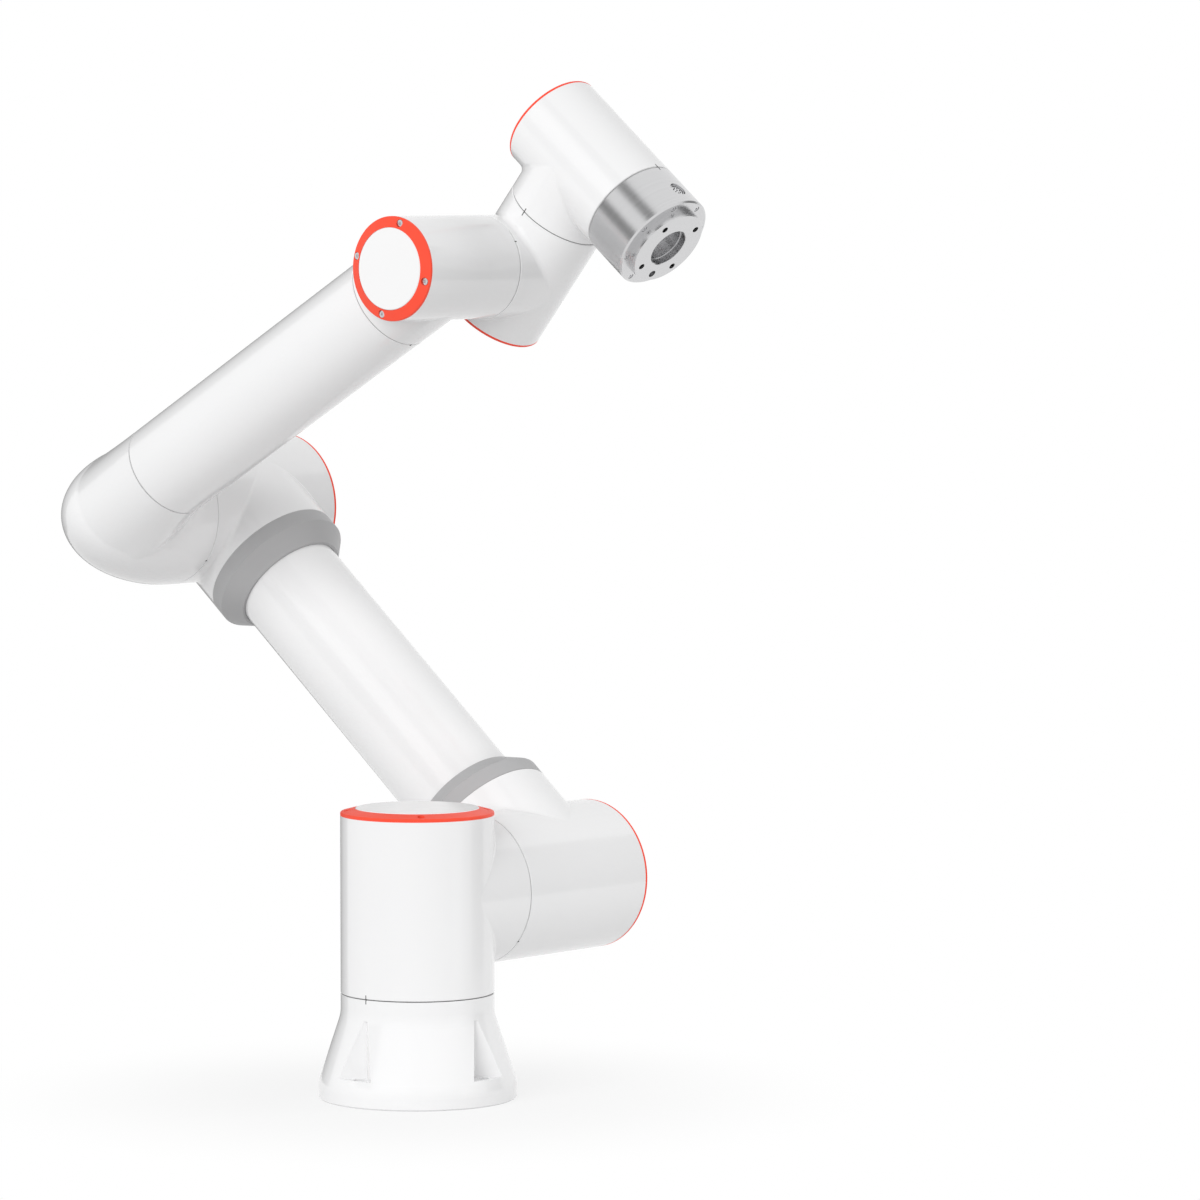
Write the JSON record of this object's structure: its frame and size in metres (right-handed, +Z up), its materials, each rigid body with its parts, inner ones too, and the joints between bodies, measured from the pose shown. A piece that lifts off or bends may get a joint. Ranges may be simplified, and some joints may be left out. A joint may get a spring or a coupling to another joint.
{
  "type": "industrial robot arm",
  "caption": "Jointed collaborative robot arm: flared bolt-down foot, round housings with coloured end caps, two arm tubes with collars, an offset wrist and a metal tool flange.",
  "frame": {"origin": "centre of the foot's underside, on the base joint's axis", "axes": "+Z up along the base joint's axis; +Y along the shoulder joint's axis at rest; +X the way the forearm and tool reach at rest"},
  "size_m": [0.5616, 0.2794, 0.7633],
  "materials": {
    "white_paint": "glossy white paint",
    "cap_ring": "satin orange-red",
    "cap_disc": "glossy white",
    "collar": "satin mid grey",
    "seal_rubber": "matt black",
    "plain_steel": "plain steel",
    "tool_metal": "brushed",
    "connector": "matt black"
  },
  "bodies": {
    "base": {"base_foot": "white_paint", "base_cable_socket": "connector", "base_joint_seal": "seal_rubber"},
    "turret": {"turret_housing": "white_paint", "turret_cap_ring": "cap_ring", "turret_cap_disc": "cap_disc", "turret_cap_screws": "plain_steel", "shoulder_joint_seal": "seal_rubber"},
    "upper_arm": {"shoulder_housing": "white_paint", "shoulder_cap_ring": "cap_ring", "shoulder_cap_disc": "cap_disc", "shoulder_cap_screws": "plain_steel", "shoulder_collar": "collar", "upper_arm_tube": "white_paint", "elbow_collar": "collar", "elbow_housing": "white_paint", "elbow_cap_ring": "cap_ring", "elbow_cap_disc": "cap_disc", "elbow_cap_screws": "plain_steel", "elbow_joint_seal": "seal_rubber"},
    "forearm": {"elbow_dome": "white_paint", "forearm_lower_gasket": "seal_rubber", "forearm_tube": "white_paint", "forearm_upper_gasket": "seal_rubber", "wrist_1_housing": "white_paint", "wrist_1_cap_ring": "cap_ring", "wrist_1_cap_disc": "cap_disc", "wrist_1_cap_screws": "plain_steel", "wrist_1_joint_seal": "seal_rubber"},
    "wrist_2": {"wrist_2_housing": "white_paint", "wrist_2_cap_ring": "cap_ring", "wrist_2_cap_disc": "cap_disc", "wrist_2_cap_screws": "plain_steel", "wrist_2_joint_seal": "seal_rubber"},
    "wrist_3": {"wrist_3_housing": "white_paint", "wrist_3_cap_ring": "cap_ring", "wrist_3_cap_disc": "cap_disc", "wrist_3_cap_screws": "plain_steel", "wrist_3_joint_seal": "seal_rubber"},
    "tool_flange": {"tool_body": "tool_metal", "tool_plate": "tool_metal", "tool_ring_screws": "plain_steel", "tool_connector": "plain_steel"}
  },
  "joints": [
    {"name": "base_joint", "type": "hinge", "parent": "base", "child": "turret", "pos_m": [0, 0, 0.0794], "axis": [0, 0, 1], "range_deg": [-175, 175]},
    {"name": "shoulder_joint", "type": "hinge", "parent": "turret", "child": "upper_arm", "pos_m": [0, 0.065, 0.152], "axis": [0, 1, 0], "range_deg": [-85.3, 184.7]},
    {"name": "elbow_joint", "type": "hinge", "parent": "upper_arm", "child": "forearm", "pos_m": [-0.32413, 0.065, 0.42689], "axis": [0, -1, 0], "range_deg": [-40.25, 259.75]},
    {"name": "wrist_1_joint", "type": "hinge", "parent": "forearm", "child": "wrist_2", "pos_m": [0.01812, 0.0536, 0.62409], "axis": [0, 1, 0], "range_deg": [-154.55, 195.45]},
    {"name": "wrist_2_joint", "type": "hinge", "parent": "wrist_2", "child": "wrist_3", "pos_m": [0.05228, 0.102, 0.66539], "axis": [0.6374, 0, 0.7705], "range_deg": [-30, 210]},
    {"name": "wrist_3_joint", "type": "hinge", "parent": "wrist_3", "child": "tool_flange", "pos_m": [0.12444, 0.102, 0.66851], "axis": [0.7705, 0, -0.6374], "range_deg": [-175, 175]}
  ]
}
